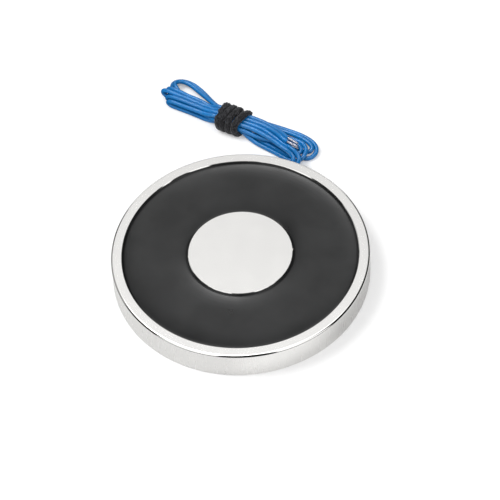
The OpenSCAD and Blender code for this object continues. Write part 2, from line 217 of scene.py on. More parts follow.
def waist_shift(points):
    """The hank's points with the waist moved a little to the front, where the tie holds it."""
    reach = 9
    points = np.array(points, float)
    points[:, 1] += WAIST_OFF * np.exp(-(points[:, 0] / reach) ** 2)
    return points


def at(az, r, along, z):
    """A point by azimuth in degrees, distance from the axis, offset along the tangent, and height."""
    a = math.radians(az)
    return (
        r * math.cos(a) - along * math.sin(a),
        r * math.sin(a) + along * math.cos(a),
        z,
    )


def lead_inside(side):
    """A lead's own stretch inside: from its joint, round a quarter bend and out of the grommet."""
    joint_az = LEAD_AZ + side * JOINT_TURN
    half_gap = (LEAD_D + LEAD_WEB) / 2
    points = [
        at(joint_az, JOINT_R, -side * JOINT_HALF, LEAD_Z),
        at(joint_az, JOINT_R, -side * SLEEVE_HALF, LEAD_Z),
    ]
    for turn in (90, 67.5, 45, 22.5, 0):
        a = math.radians(turn)
        out = JOINT_R + LEAD_BEND * (1 - math.sin(a))
        points.append(at(LEAD_AZ, out, side * (half_gap + LEAD_BEND * (1 - math.cos(a))), LEAD_Z))
    points.append(at(LEAD_AZ, COLLAR_R, side * half_gap, LEAD_Z))
    return points


def smooth_line(points, step):
    """A centripetal Catmull-Rom curve through the points, resampled to an even step."""
    samples = 12
    points = np.asarray(points, float)
    ends = np.vstack([2 * points[0] - points[1], points, 2 * points[-1] - points[-2]])
    knots = np.concatenate([[0], np.cumsum(np.linalg.norm(np.diff(ends, axis=0), axis=1) ** 0.5)])
    dense = []
    for i in range(1, len(ends) - 2):
        p = ends[i - 1:i + 3]
        k = knots[i - 1:i + 3]
        t = np.linspace(k[1], k[2], samples, endpoint=False)[:, None]
        a = [
            (k[j + 1] - t) / (k[j + 1] - k[j]) * p[j] + (t - k[j]) / (k[j + 1] - k[j]) * p[j + 1]
            for j in range(3)
        ]
        b = [
            (k[j + 2] - t) / (k[j + 2] - k[j]) * a[j] + (t - k[j]) / (k[j + 2] - k[j]) * a[j + 1]
            for j in range(2)
        ]
        dense.append((k[2] - t) / (k[2] - k[1]) * b[0] + (t - k[1]) / (k[2] - k[1]) * b[1])
    dense = np.vstack([*dense, points[-1:]])
    run = np.concatenate([[0], np.cumsum(np.linalg.norm(np.diff(dense, axis=0), axis=1))])
    even = np.linspace(0, run[-1], int(round(run[-1] / step)) + 1)
    return np.column_stack([np.interp(even, run, dense[:, i]) for i in range(dense.shape[1])])


def settle(lines, step, d, hold, rounds):
    """Pushes the lines apart to one diameter and up off the floor, and evens out their bends.

    hold is each line's share, from 0 to 1, by which a point is kept where it was drawn."""
    smoothing = 0.06
    to_drawn = 0.015
    to_held = 0.9
    push_share = 0.3
    next_on_line = 2.4
    neighbour = 4
    beside = 0.8
    drawn = np.vstack(lines)
    keep = np.concatenate(hold)[:, None]
    owner = np.concatenate([np.full(len(x), i) for i, x in enumerate(lines)])
    order = np.concatenate([np.arange(len(x)) for x in lines])
    near_on_line = int(next_on_line * d / step)
    rows, columns = np.triu_indices(len(drawn), 1)
    apart = (owner[rows] != owner[columns]) | (np.abs(order[rows] - order[columns]) > near_on_line)
    near = np.linalg.norm(drawn[rows] - drawn[columns], axis=1) < neighbour * d
    rows = rows[apart & near]
    columns = columns[apart & near]
    inner = np.flatnonzero(np.concatenate([
        (np.arange(len(x)) > 1) & (np.arange(len(x)) < len(x) - 2) for x in lines
    ]))
    now = drawn.copy()
    for _ in range(rounds):
        for _ in range(3):
            bend = (
                now[inner - 2] - 4 * now[inner - 1] + 6 * now[inner]
                - 4 * now[inner + 1] + now[inner + 2]
            )
            now[inner] -= smoothing * bend * (1 - keep[inner])
        now += (drawn - now) * (to_drawn + to_held * keep)
        heading = np.zeros_like(now)
        heading[inner] = now[inner + 1] - now[inner - 1]
        heading /= np.maximum(np.linalg.norm(heading, axis=1), 1e-6)[:, None]
        gap = now[columns] - now[rows]
        mean_heading = heading[rows] + heading[columns] * np.sign(
            (heading[rows] * heading[columns]).sum(axis=1)
        )[:, None]
        mean_heading /= np.maximum(np.linalg.norm(mean_heading, axis=1), 1e-6)[:, None]
        along = (gap * mean_heading).sum(axis=1)
        gap -= along[:, None] * mean_heading
        far = np.linalg.norm(gap, axis=1)
        tight = (far < d) & (np.abs(along) < beside * step)
        push = gap[tight] * ((d - far[tight]) / np.maximum(far[tight], 1e-6) * push_share)[:, None]
        move = np.zeros_like(now)
        count = np.zeros(len(now))
        np.add.at(move, rows[tight], -push)
        np.add.at(move, columns[tight], push)
        np.add.at(count, rows[tight], 1)
        np.add.at(count, columns[tight], 1)
        now += move / np.maximum(count, 1)[:, None] ** 0.5 * (1 - keep)
        now[:, 2] = np.maximum(now[:, 2], d / 2 + 0.01)
    cuts = np.cumsum([len(x) for x in lines])[:-1]
    return np.split(now, cuts)


def held(line):
    """How firmly each point keeps its drawn place: all the way in the pot, well inside the tie."""
    tie_half = 7
    tie_hold = 0.3
    past_pot = 60
    fixed_to = 53
    away = np.linalg.norm(line[:, :2], axis=1)
    shift = line[:, :2] - np.array(HANK_AT)
    s = shift @ np.array([math.cos(HANK_TURN), math.sin(HANK_TURN)])
    keep = np.where(np.abs(s) < tie_half, tie_hold, 0.0) * (away > past_pot)
    keep[away < fixed_to] = 1.0
    keep[-3:] = 1.0
    return keep


def lead_lines():
    """Both leads' whole lines, from their joints to the ends of their insulation."""
    step = 0.6
    rounds = 160
    lines = [
        smooth_line(lead_inside(side) + free + from_hank(waist_shift(hank)).tolist(), step)
        for side, free, hank in ((1, FREE_A, HANK_A), (-1, FREE_B, HANK_B))
    ]
    return settle(lines, step, LEAD_D, [held(x) for x in lines], rounds)


def curve_along(name, line, d):
    """A round lead as a curve of one open spline with closed ends."""
    data = bpy.data.curves.new(name, "CURVE")
    data.dimensions = "3D"
    data.bevel_depth = 1
    data.bevel_resolution = 7
    data.use_fill_caps = True
    spline = data.splines.new("POLY")
    spline.points.add(len(line) - 1)
    for point, place in zip(spline.points, line):
        point.co = (*(place * MM), 1)
        point.radius = d / 2 * MM
    made = bpy.data.objects.new(name, data)
    bpy.context.collection.objects.link(made)
    return made


def mesh_object(name, points, faces, smooth=True):
    """A mesh from points in millimetres."""
    data = bpy.data.meshes.new(name)
    data.from_pydata((np.asarray(points, float) * MM).tolist(), [], faces)
    data.validate()
    data.polygons.foreach_set("use_smooth", [smooth] * len(data.polygons))
    data.update()
    made = bpy.data.objects.new(name, data)
    bpy.context.collection.objects.link(made)
    return made


def dress(piece, material):
    """Gives a piece or a CAD node its one material."""
    piece.data.materials.clear()
    piece.data.materials.append(material)


def ring_faces(rings, sides, start=0, caps=True):
    """The faces of a tube whose points come ring by ring."""
    faces = []
    for i in range(rings - 1):
        for k in range(sides):
            p = start + i * sides + k
            q = start + i * sides + (k + 1) % sides
            faces.append((p, q, q + sides, p + sides))
    if caps:
        faces.append(tuple(range(start + sides - 1, start - 1, -1)))
        faces.append(tuple(start + (rings - 1) * sides + k for k in range(sides)))
    return faces


def headings(line):
    """The unit vector along a line at each of its points."""
    ahead = np.gradient(line, axis=0)
    return ahead / np.linalg.norm(ahead, axis=1)[:, None]


def make_leads():
    """Both leads: the stretch inside the pot, and the free cord from the grommet to the hank."""
    made = []
    for letter, line in zip("ab", lead_lines()):
        away = np.linalg.norm(line[:, :2], axis=1)
        leave = int(np.argmax(away > GROOVE_R))
        inside = curve_along(f"lead_{letter}_inside", line[:leave + 2], LEAD_D)
        cord = curve_along(f"lead_{letter}_wire", line[leave:], LEAD_D)
        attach(inside, "root")
        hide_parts(f"lead_{letter}")
        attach(cord, "root")
        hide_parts(f"lead_{letter}", "lead_hank")
        made.append((inside, cord, line[leave:]))
    return made


def make_tip(letter, line):
    """A bared end: a bundle of fine twisted strands, tinned together, with a rounded point."""
    node_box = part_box(f"lead_{letter}_tip")
    middle = [(node_box[0][i] + node_box[1][i]) / 2 / MM for i in range(3)]
    ahead = np.array(middle) - line[-1]
    ahead /= np.linalg.norm(ahead)
    side = np.cross(ahead, (0, 0, 1))
    side /= np.linalg.norm(side)
    up = np.cross(side, ahead)
    rings = 44
    sides = 48
    strands = 8
    sunk = 0.8
    point_len = 0.55
    lay = 0.55
    furrow = 0.14
    bow_by = 0.05
    points = []
    run = np.linspace(-sunk, TIP_LEN, rings)
    for x in run:
        to_end = max(TIP_LEN - x, 0)
        taper = min(1, math.sqrt(max(1 - (1 - min(to_end / point_len, 1)) ** 2, 0.02)))
        for k in range(sides):
            a = 2 * math.pi * k / sides
            lobe = abs(math.cos(strands / 2 * (a - lay * x)))
            r = TIP_D / 2 * taper * (1 - furrow + furrow * lobe)
            bow = bow_by * math.sin(x * 0.9)
            points.append(line[-1] + ahead * x + side * (r * math.cos(a) + bow) + up * r * math.sin(a))
    tip = mesh_object(f"lead_{letter}_strands", points, ring_faces(rings, sides))
    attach(tip, "root")
    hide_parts(f"lead_{letter}_tip")
    return tip


def tie_line():
    """The tie cord's centre line in the hank's axes, with its outward direction at each point."""
    degrees_per_mm = 20
    tuck = 1.3
    tuck_over = 12
    knots = smooth_line([(phi, s * degrees_per_mm) for phi, s in TIE_TURNS], 4)
    phi = np.radians(knots[:, 0])
    s = knots[:, 1] / degrees_per_mm
    reach = WAIST_H / 2 + TIE_GAP + TIE_HALF_T
    flat = (WAIST_W - WAIST_H) / 2
    last = len(s) - 1
    from_end = np.minimum(np.arange(len(s)), last - np.arange(len(s)))
    reach = reach - tuck * np.clip(1 - from_end / tuck_over, 0, 1) ** 2
    outward = np.column_stack([np.zeros_like(s), np.cos(phi), np.sin(phi)])
    shift = flat * np.clip(1.6 * np.cos(phi), -1, 1)
    line = np.column_stack([
        s,
        WAIST_OFF + shift + reach * np.cos(phi),
        TIE_Z + reach * np.sin(phi),
    ])
    return line, outward


def make_tie():
    """Thick soft black cord wound round the waist, with its plies' twist and its turns pressed flat."""
    step = 0.22
    sides = 48
    twist_len = 16
    swell_every = 1.7
    swell_by = 0.07
    stray = 0.14
    furrow = 0.16
    line, outward = tie_line()
    fine = smooth_line(np.column_stack([line, outward]), step)
    line = fine[:, :3]
    outward = fine[:, 3:] / np.linalg.norm(fine[:, 3:], axis=1)[:, None]
    ahead = headings(line)
    outward = outward - (outward * ahead).sum(axis=1)[:, None] * ahead
    outward /= np.linalg.norm(outward, axis=1)[:, None]
    beside = np.cross(ahead, outward)
    rng = np.random.default_rng(11)
    run = np.arange(len(line)) * step
    marks = np.arange(0, run[-1] + 3, swell_every)
    swell = 1 + swell_by * np.interp(run, marks, rng.normal(0, 1, len(marks)))
    shift = stray * np.interp(run, marks, rng.normal(0, 1, len(marks)))
    points = []
    for i in range(len(line)):
        twist = 2 * math.pi * run[i] / twist_len
        for k in range(sides):
            a = 2 * math.pi * k / sides
            ply = abs(math.cos(3 * (a - twist) + 0.5 * math.sin(run[i] * 0.9))) ** 0.7
            fibre = 0.02 * math.cos(17 * a + 5 * twist) + 0.015 * math.cos(11 * a - 9 * twist + 2)
            grow = (1 - furrow + furrow * ply + fibre) * swell[i]
            across = TIE_HALF_W * grow * math.cos(a) + shift[i]
            out = TIE_HALF_T * grow * math.copysign(abs(math.sin(a)) ** 0.8, math.sin(a))
            points.append(line[i] + beside[i] * across + outward[i] * out)
    points = from_hank(points)
    points[:, 2] = np.maximum(points[:, 2], 0.02)
    tie = mesh_object("hank_tie_cord", points, ring_faces(len(line), sides))
    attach(tie, "root")
    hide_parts("hank_tie")
    return tie, points.reshape(len(line), sides, 3)


def make_fuzz(rings):
    """Fine loose fibres that stand off the tie cord."""
    rng = random.Random(5)
    fibres = 2200
    steps = 4
    thick = 0.022
    lowest = 0.06
    points = []
    faces = []
    count, sides = rings.shape[:2]
    centre = rings.mean(axis=1)
    for _ in range(fibres):
        i = rng.randrange(4, count - 4)
        k = rng.randrange(sides)
        root = rings[i, k]
        out = root - centre[i]
        out = out / np.linalg.norm(out)
        lean = np.array([rng.gauss(0, 1) for _ in range(3)])
        way = out * 0.6 + lean * 0.55
        way /= np.linalg.norm(way)
        bend = np.array([rng.gauss(0, 0.35) for _ in range(3)])
        long = rng.uniform(0.25, 0.75)
        side = np.cross(way, (0.3, 0.5, 0.8))
        side /= np.linalg.norm(side)
        up = np.cross(way, side)
        start = len(points)
        end = root + way * long + bend * long
        if min(root[2], end[2]) < lowest:
            continue
        for j in range(steps):
            x = j / (steps - 1)
            place = root + way * (long * x) + bend * (long * x * x)
            r = thick * (1 - 0.6 * x)
            for turn in range(3):
                a = 2 * math.pi * turn / 3
                points.append(place + side * r * math.cos(a) + up * r * math.sin(a))
        faces += ring_faces(steps, 3, start)
    fuzz = mesh_object("hank_tie_fuzz", points, faces)
    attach(fuzz, "root")
    return fuzz


def quarter(middle_r, middle_z, radius, start, end, steps):
    """Points of a rounded corner of the pot's section, from one angle to another."""
    angles = np.radians(np.linspace(start, end, steps + 1))
    return [(middle_r + radius * math.cos(a), middle_z + radius * math.sin(a)) for a in angles]


def pot_section():
    """The pot's section from the drill's cone, round the outside and the groove, to the core's middle."""
    support = 0.04
    return [
        (HOLE_R, HOLE_DEPTH), (HOLE_R, SINK_DEPTH), (HOLE_R + SINK_DEPTH, 0),
        (POT_R - BACK_ROUND - support, 0),
        *quarter(POT_R - BACK_ROUND, BACK_ROUND, BACK_ROUND, -90, 0, 8),
        (POT_R, BACK_ROUND + support),
        (POT_R, POT_H - FACE_ROUND - support),
        *quarter(POT_R - FACE_ROUND, POT_H - FACE_ROUND, FACE_ROUND, 0, 90, 16),
        (POT_R - FACE_ROUND - support, POT_H),
        (GROOVE_R + EDGE_BREAK, POT_H), (GROOVE_R, POT_H - EDGE_BREAK), (GROOVE_R, BASE_T),
        (CORE_R, BASE_T), (CORE_R, POT_H - EDGE_BREAK), (CORE_R - EDGE_BREAK, POT_H),
    ]


def make_pot():
    """The turned steel pot with true smooth rounds, and the hole for the leads cut through its wall."""
    segments = 720
    drill_sides = 96
    sharp_from = 25
    section = pot_section()
    width = len(section)
    points = [
        (r * math.cos(a), r * math.sin(a), z)
        for a in np.arange(segments) / segments * 2 * math.pi for r, z in section
    ]
    cone_tip = len(points)
    core_middle = cone_tip + 1
    points += [(0, 0, HOLE_DEPTH + DRILL_TIP), (0, 0, POT_H)]
    faces = []
    for i in range(segments):
        here = i * width
        there = (i + 1) % segments * width
        faces += [(here + k, there + k, there + k + 1, here + k + 1) for k in range(width - 1)]
        faces.append((cone_tip, there, here))
        faces.append((core_middle, here + width - 1, there + width - 1))
    pot = mesh_object("turned_pot", points, faces)
    rings = []
    for r in (GROOVE_R - 1, POT_R + 1):
        for turn in range(drill_sides):
            a = 2 * math.pi * turn / drill_sides
            half = LEAD_HOLE_D / 2
            rings.append(at(LEAD_AZ, r, half * math.cos(a), LEAD_Z + half * math.sin(a)))
    drill = mesh_object("lead_hole_drill", rings, ring_faces(2, drill_sides))
    cut = pot.modifiers.new("lead_hole", "BOOLEAN")
    cut.operation = "DIFFERENCE"
    cut.solver = "EXACT"
    cut.object = drill
    shape = bpy.data.meshes.new_from_object(pot.evaluated_get(bpy.context.evaluated_depsgraph_get()))
    pot.modifiers.clear()
    pot.data = shape
    bpy.data.objects.remove(drill)
    shape.polygons.foreach_set("use_smooth", [True] * len(shape.polygons))
    shape.set_sharp_from_angle(angle=math.radians(sharp_from))
    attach(pot, "root")
    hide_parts("housing")
    return pot


def fill_level(from_wall):
    """The height of the resin at a distance from the groove's wall."""
    return (
        POT_H - FILL_DROP
        + BROAD_RISE * math.exp(-from_wall / BROAD_REACH)
        + STEEP_RISE * math.exp(-from_wall / STEEP_REACH)
    )


def make_creep(resin):
    """The resin's thin uneven edge, where it wets the chamfers at both walls of the groove."""
    segments = 720
    lowest = -0.25
    highest = 0.97
    unevenness = 0.09
    rng = np.random.default_rng(3)
    around = np.arange(segments) / segments * 2 * math.pi
    # The part of the profile that lies on the resin: distance from the wall, and height
    on_resin = [
        (from_wall, fill_level(from_wall) + above)
        for from_wall, above in ((0.9, -0.03), (0.7, 0.012), (0.4, 0.02), (0.18, 0.03))
    ]
    # Each wall's radius, the side of it that the resin lies on, and how far the edge has usually climbed
    walls = [("potting_edge_outer", GROOVE_R, -1, 0.06), ("potting_edge_inner", CORE_R, 1, 0.5)]
    for name, wall, sign, usual in walls:
        share = np.full(segments, usual)
        for wave in range(3, 60):
            spread = unevenness / wave ** 0.7
            share += rng.normal(0, spread) * np.cos(wave * around + rng.uniform(0, 6.28))
        if sign < 0:
            for az, half, much in CREEPS:
                off = (np.degrees(around) - az + 180) % 360 - 180
                share += much * np.exp(-(off / half) ** 6)
        share = np.clip(share, lowest, highest)
        points = []
        for i, a in enumerate(around):
            climb = EDGE_BREAK * max(share[i], 0)
            top = POT_H - EDGE_BREAK + EDGE_BREAK * share[i]
            profile = [
                *on_resin,
                (0.05, min(max(fill_level(0.05) + 0.03, top - 0.02), top + 0.1)),
                (-climb * 0.6 + 0.01, max(fill_level(0), POT_H - EDGE_BREAK + climb * 0.6 + 0.03)),
                (-climb - 0.01, max(fill_level(0) - 0.02, POT_H - EDGE_BREAK + climb + 0.012)),
                (-climb - 0.02, max(fill_level(0) - 0.1, POT_H - EDGE_BREAK + climb - 0.05)),
            ]
            for from_wall, z in profile:
                r = wall + sign * from_wall
                points.append((r * math.cos(a), r * math.sin(a), z))
        width = len(profile)
        faces = []
        for i in range(segments):
            for k in range(width - 1):
                p = i * width + k
                q = ((i + 1) % segments) * width + k
                faces.append((p, p + 1, q + 1, q) if sign > 0 else (p, q, q + 1, p + 1))
        edge = mesh_object(name, points, faces)
        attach(edge, "root")
        dress(edge, resin)


def make_thread():
    """The M8 thread in the back: one ridge that winds up the wall of the hole."""
    per_turn = 48
    ridge = 0.38
    fade = 30
    turns = (HOLE_DEPTH - SINK_DEPTH - 1.0) / THREAD_PITCH
    rings = int(per_turn * turns)
    points = []
    for i in range(rings):
        a = 2 * math.pi * i / per_turn
        z = SINK_DEPTH + 0.5 + THREAD_PITCH * i / per_turn
        crest = HOLE_R - ridge * min(1, i / fade, (rings - 1 - i) / fade)
        root = HOLE_R + 0.05
        for r, dz in ((root, -0.5), (crest, -0.1), (crest, 0.1), (root, 0.5)):
            points.append((r * math.cos(a), r * math.sin(a), z + dz))
    thread = mesh_object("mounting_thread", points, ring_faces(rings, 4), smooth=False)
    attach(thread, "root")
    return thread


def node(tree, kind, inputs=None, **settings):
    """A shader node with its settings, and each input set to a value or linked to a socket."""
    made = tree.nodes.new("ShaderNode" + kind)
    for name, setting in settings.items():
        setattr(made, name, setting)
    for key, given in (inputs or {}).items():
        if isinstance(given, bpy.types.NodeSocket):
            tree.links.new(given, made.inputs[key])
        else:
            made.inputs[key].default_value = given
    return made


def calc(tree, operation, *given):
    """The result of a math node."""
    return node(tree, "Math", dict(enumerate(given)), operation=operation).outputs[0]


def fit_range(tree, given, low, high, to_low=0.0, to_high=1.0, kind="SMOOTHSTEP"):
    """A value carried from one range to another, clamped at both ends."""
    made = node(tree, "MapRange", {"Value": given}, interpolation_type=kind)
    for name, number in (("From Min", low), ("From Max", high), ("To Min", to_low), ("To Max", to_high)):
        made.inputs[name].default_value = number
    return made.outputs[0]


def noise(tree, place, scale, detail=2.0, stretch=None, distortion=0.0):
    """Soft noise, stretched by another scale for each axis where that is given."""
    if stretch:
        place = node(tree, "Mapping", {"Vector": place, "Scale": stretch}).outputs[0]
    settings = {"Vector": place, "Scale": scale, "Detail": detail, "Distortion": distortion}
    return node(tree, "TexNoise", settings).outputs["Fac"]


def from_axis(tree, place):
    """The distance from the pot's axis."""
    x, y, _ = node(tree, "SeparateXYZ", {0: place}).outputs
    return calc(tree, "SQRT", calc(tree, "ADD", calc(tree, "MULTIPLY", x, x), calc(tree, "MULTIPLY", y, y)))


def facing(tree, way, azimuth, elevation):
    """The cosine of the angle between a direction and one given in degrees."""
    inputs = {0: way, 1: direction(azimuth, elevation)}
    return node(tree, "VectorMath", inputs, operation="DOT_PRODUCT").outputs["Value"]


def mix_colors(tree, factor, first, second):
    """A mix of two colours by a factor."""
    made = node(tree, "Mix", {0: factor}, data_type="RGBA")
    for index, given in ((6, first), (7, second)):
        if isinstance(given, bpy.types.NodeSocket):
            tree.links.new(given, made.inputs[index])
        else:
            made.inputs[index].default_value = (*given, 1)
    return made.outputs[2]


def bump(tree, height, distance, normal=None, strength=1.0):
    """A bump in the normal; distance is in metres."""
    inputs = {"Height": height, "Distance": distance, "Strength": strength}
    if normal:
        inputs["Normal"] = normal
    return node(tree, "Bump", inputs).outputs[0]


def new_material(name, **sockets):
    """A material, its node tree, its shader with the sockets set, and the object's coordinates."""
    made = bpy.data.materials.new(name)
    made.use_nodes = True
    tree = made.node_tree
    shader = tree.nodes["Principled BSDF"]
    for socket, given in sockets.items():
        socket = socket.replace("_", " ").title().replace("Ior", "IOR")
        shader.inputs[socket].default_value = (*given, 1) if isinstance(given, tuple) else given
    return made, tree, shader, node(tree, "TexCoord").outputs["Object"]


def tint(color, factor):
    """A colour made lighter or darker."""
    return tuple(min(x * factor, 1) for x in color)


def mottled(name, color, spread, size, grain=0.0, grain_size=0.3, **sockets):
    """A plain material whose colour and roughness vary softly, with a fine grain in its surface.

    size and grain_size are in millimetres, and grain is the grain's height in metres."""
    made, tree, shader, place = new_material(name, **sockets)
    patches = noise(tree, place, 1 / (size * MM), 3)
    color_out = mix_colors(tree, patches, tint(color, 1 - spread), tint(color, 1 + spread))
    tree.links.new(color_out, shader.inputs["Base Color"])
    rough = shader.inputs["Roughness"].default_value
    rough_out = fit_range(tree, patches, 0.3, 0.7, rough * 0.88, rough * 1.12, "LINEAR")
    tree.links.new(rough_out, shader.inputs["Roughness"])
    if grain:
        fine = noise(tree, place, 1 / (grain_size * MM), 3)
        tree.links.new(bump(tree, fine, grain), shader.inputs["Normal"])
    return made


def nickel_material():
    """Turned and ground steel, nickel plated: satin faces, bright rounds, faint streaks down the wall, and
    painted shade that colours the wall a little darker than the face.
    """
    color = (0.87, 0.862, 0.845)
    wall_painted_shade = 0.1
    round_rough = 0.06
    rings_per_metre = 5200.0
    made, tree, shader, place = new_material("nickel_plated_steel", metallic=1.0)
    normal = node(tree, "TexCoord").outputs["Normal"]
    up = calc(tree, "ABSOLUTE", node(tree, "SeparateXYZ", {0: normal}).outputs[2])
    face = fit_range(tree, up, 0.6, 0.95)
    clouds = noise(tree, place, 130, 4)
    grain = noise(tree, place, 1900, 4)
    streaks = noise(tree, place, 1, 4, stretch=(700, 700, 60))
    outwards = calc(tree, "MULTIPLY", from_axis(tree, place), rings_per_metre)
    rings = node(
        tree, "TexNoise", {"W": outwards, "Scale": 1.0, "Detail": 2.0}, noise_dimensions="1D"
    ).outputs["Fac"]
    face_tone = calc(tree, "ADD", calc(tree, "MULTIPLY", clouds, 0.6), calc(tree, "MULTIPLY", grain, 0.4))
    tone = node(tree, "Mix", {0: face, 2: streaks, 3: face_tone}).outputs[0]
    spread = node(tree, "Mix", {0: face, 2: 0.018, 3: 0.035}).outputs[0]
    # Painted shade: the upright wall's colour is made a little darker than the face's.
    wall = fit_range(tree, up, 0.35, 0.1)
    brightest = calc(tree, "SUBTRACT", 1.0, calc(tree, "MULTIPLY", wall, wall_painted_shade))
    low = calc(tree, "SUBTRACT", brightest, spread)
    tone = calc(tree, "ADD", low, calc(tree, "MULTIPLY", fit_range(tree, tone, 0.3, 0.7), spread))
    color_out = node(tree, "VectorMath", {0: color, 3: tone}, operation="SCALE").outputs[0]
    tree.links.new(color_out, shader.inputs["Base Color"])
    face_rough = fit_range(tree, clouds, 0.3, 0.7, 0.08, 0.12, "LINEAR")
    wall_rough = fit_range(tree, streaks, 0.3, 0.7, 0.22, 0.3, "LINEAR")
    edge_rough = node(tree, "Mix", {0: face, 2: round_rough, 3: face_rough}).outputs[0]
    rough = node(tree, "Mix", {0: wall, 2: edge_rough, 3: wall_rough}).outputs[0]
    tree.links.new(rough, shader.inputs["Roughness"])
    ground = bump(tree, grain, 0.000002, strength=face)
    turned = bump(tree, rings, 0.0000012, normal=ground, strength=face)
    brushed = bump(tree, streaks, 0.0000004, normal=turned, strength=wall)
    tree.links.new(brushed, shader.inputs["Normal"])
    return made


def resin_material():
    """Cast dark resin: satin, a little wavy, drawn up at the walls, with a faint grain."""
    color = (0.0075, 0.0077, 0.0079)
    made, tree, shader, place = new_material("potting_resin", specular_ior_level=0.34)
    patches = noise(tree, place, 70, 4, distortion=0.4)
    color_out = mix_colors(tree, fit_range(tree, patches, 0.3, 0.7), tint(color, 0.8), tint(color, 1.3))
    tree.links.new(color_out, shader.inputs["Base Color"])
    tree.links.new(fit_range(tree, patches, 0.3, 0.7, 0.27, 0.37, "LINEAR"), shader.inputs["Roughness"])
    waves = noise(tree, place, 95, 2)
    grain = noise(tree, place, 3000, 3)
    radius = from_axis(tree, place)
    from_outer = calc(tree, "SUBTRACT", GROOVE_R * MM, radius)
    from_inner = calc(tree, "SUBTRACT", radius, CORE_R * MM)
    near_outer = calc(tree, "EXPONENT", calc(tree, "DIVIDE", from_outer, -MENISCUS_REACH))
    near_inner = calc(tree, "EXPONENT", calc(tree, "DIVIDE", from_inner, -MENISCUS_REACH))
    near_outer = calc(tree, "MULTIPLY", near_outer, OUTER_RISE)
    drawn_up = bump(tree, calc(tree, "ADD", near_outer, near_inner), MENISCUS_RISE)
    wavy = bump(tree, waves, 0.00008, normal=drawn_up)
    tree.links.new(bump(tree, grain, 0.000006, normal=wavy), shader.inputs["Normal"])
    return made


def blue_material():
    """Soft blue lead insulation, a little glossy, with the slight unevenness of its strands."""
    color = (0.005, 0.155, 0.43)
    unevenness = 0.00002
    grain = 0.000002
    made, tree, shader, place = new_material("blue_insulation", specular_ior_level=0.5)
    patches = noise(tree, place, 160, 3)
    color_out = mix_colors(tree, fit_range(tree, patches, 0.3, 0.7), tint(color, 0.9), tint(color, 1.1))
    tree.links.new(color_out, shader.inputs["Base Color"])
    tree.links.new(fit_range(tree, patches, 0.3, 0.7, 0.2, 0.3, "LINEAR"), shader.inputs["Roughness"])
    soft = bump(tree, noise(tree, place, 700, 2), unevenness)
    tree.links.new(bump(tree, noise(tree, place, 5000, 2), grain, normal=soft), shader.inputs["Normal"])
    return made


def tie_material():
    """Black cord: matt fibres along its plies, whose lighter and darker streaks are partly the cord's own
    tone and partly painted highlight and shade.
    """
    color = (0.018, 0.018, 0.02)
    made, tree, shader, place = new_material(
        "tie_cord", roughness=0.85, specular_ior_level=0.15, sheen_weight=0.3, sheen_roughness=0.5,
        sheen_tint=(0.75, 0.75, 0.78),
    )
    turned = node(tree, "Mapping", {"Vector": place, "Rotation": (0, 0, -HANK_TURN)}).outputs[0]
    fibres = noise(tree, turned, 1, 4, stretch=(3200, 700, 2200))
    # The streaks' range of colour is partly fibre tone and partly painted highlight and shade.
    color_out = mix_colors(tree, fit_range(tree, fibres, 0.42, 0.68), tint(color, 0.2), tint(color, 2.6))
    tree.links.new(color_out, shader.inputs["Base Color"])
    tree.links.new(bump(tree, fibres, 0.00016), shader.inputs["Normal"])
    return made


def tinned_material():
    """Tinned copper strands, dull and uneven."""
    color = (0.5, 0.5, 0.56)
    made, tree, shader, place = new_material("tinned_strands", metallic=1.0)
    patches = noise(tree, place, 1500, 3)
    color_out = mix_colors(tree, patches, tint(color, 0.85), tint(color, 1.08))
    tree.links.new(color_out, shader.inputs["Base Color"])
    tree.links.new(fit_range(tree, patches, 0.3, 0.7, 0.48, 0.6, "LINEAR"), shader.inputs["Roughness"])
    tree.links.new(bump(tree, patches, 0.00002), shader.inputs["Normal"])
    return made


def coil_material():
    """Enamelled copper, with the line of each turn round the coil."""
    made, tree, shader, place = new_material(
        "enamelled_copper", metallic=1.0, roughness=0.28, coat_weight=0.6, coat_roughness=0.12
    )
    tone = noise(tree, place, 1, 3, stretch=(90, 90, 2200))
    color_out = mix_colors(tree, tone, (0.5, 0.2, 0.08), (0.78, 0.4, 0.2))
    tree.links.new(color_out, shader.inputs["Base Color"])
    tree.links.new(bump(tree, tone, 0.00002), shader.inputs["Normal"])
    return made


def floor_material():
    """A floor that keeps the soft shadow, is white to the camera, has a painted glow seen only in
    reflections, and is darker far off in reflections.
    """
    made = bpy.data.materials.new("studio_floor")
    made.use_nodes = True
    tree = made.node_tree
    tree.nodes.remove(tree.nodes["Principled BSDF"])
    path = node(tree, "LightPath").outputs
    mirrored = calc(tree, "MAXIMUM", path["Is Glossy Ray"], path["Is Transmission Ray"])
    place = node(tree, "TexCoord").outputs["Object"]
    towards = node(tree, "VectorMath", {0: place}, operation="NORMALIZE").outputs[0]
    # Painted reflection: the floor glows before the pot, a little to the right, to reflected rays only.
    mirrored_glow = fit_range(tree, facing(tree, towards, MIRRORED_GLOW_AZ, 0), MIRRORED_GLOW_EDGE, 1.0, 0.0, MIRRORED_GLOW_LEVEL)
    to_camera = calc(tree, "MULTIPLY", path["Is Camera Ray"], FLOOR_LIFT)
    lift = calc(tree, "ADD", to_camera, calc(tree, "MULTIPLY", mirrored, mirrored_glow))
    glow = node(tree, "Emission", {"Color": (1, 1, 1, 1), "Strength": lift})
    matt = node(tree, "BsdfDiffuse", {"Color": (FLOOR_TONE, FLOOR_TONE, FLOOR_TONE, 1)})
    both = node(tree, "AddShader", {0: matt.outputs[0], 1: glow.outputs[0]})
    away = node(tree, "VectorMath", {0: place}, operation="LENGTH").outputs["Value"]
    far = calc(tree, "MULTIPLY", fit_range(tree, away, *FLOOR_WHITE_TO), mirrored)
    dark = node(tree, "BsdfDiffuse", {"Color": (ROOM_DARK, ROOM_DARK, ROOM_DARK, 1)})
    shown = node(tree, "MixShader", {0: far, 1: both.outputs[0], 2: dark.outputs[0]})
    tree.links.new(shown.outputs[0], tree.nodes["Material Output"].inputs["Surface"])
    return made


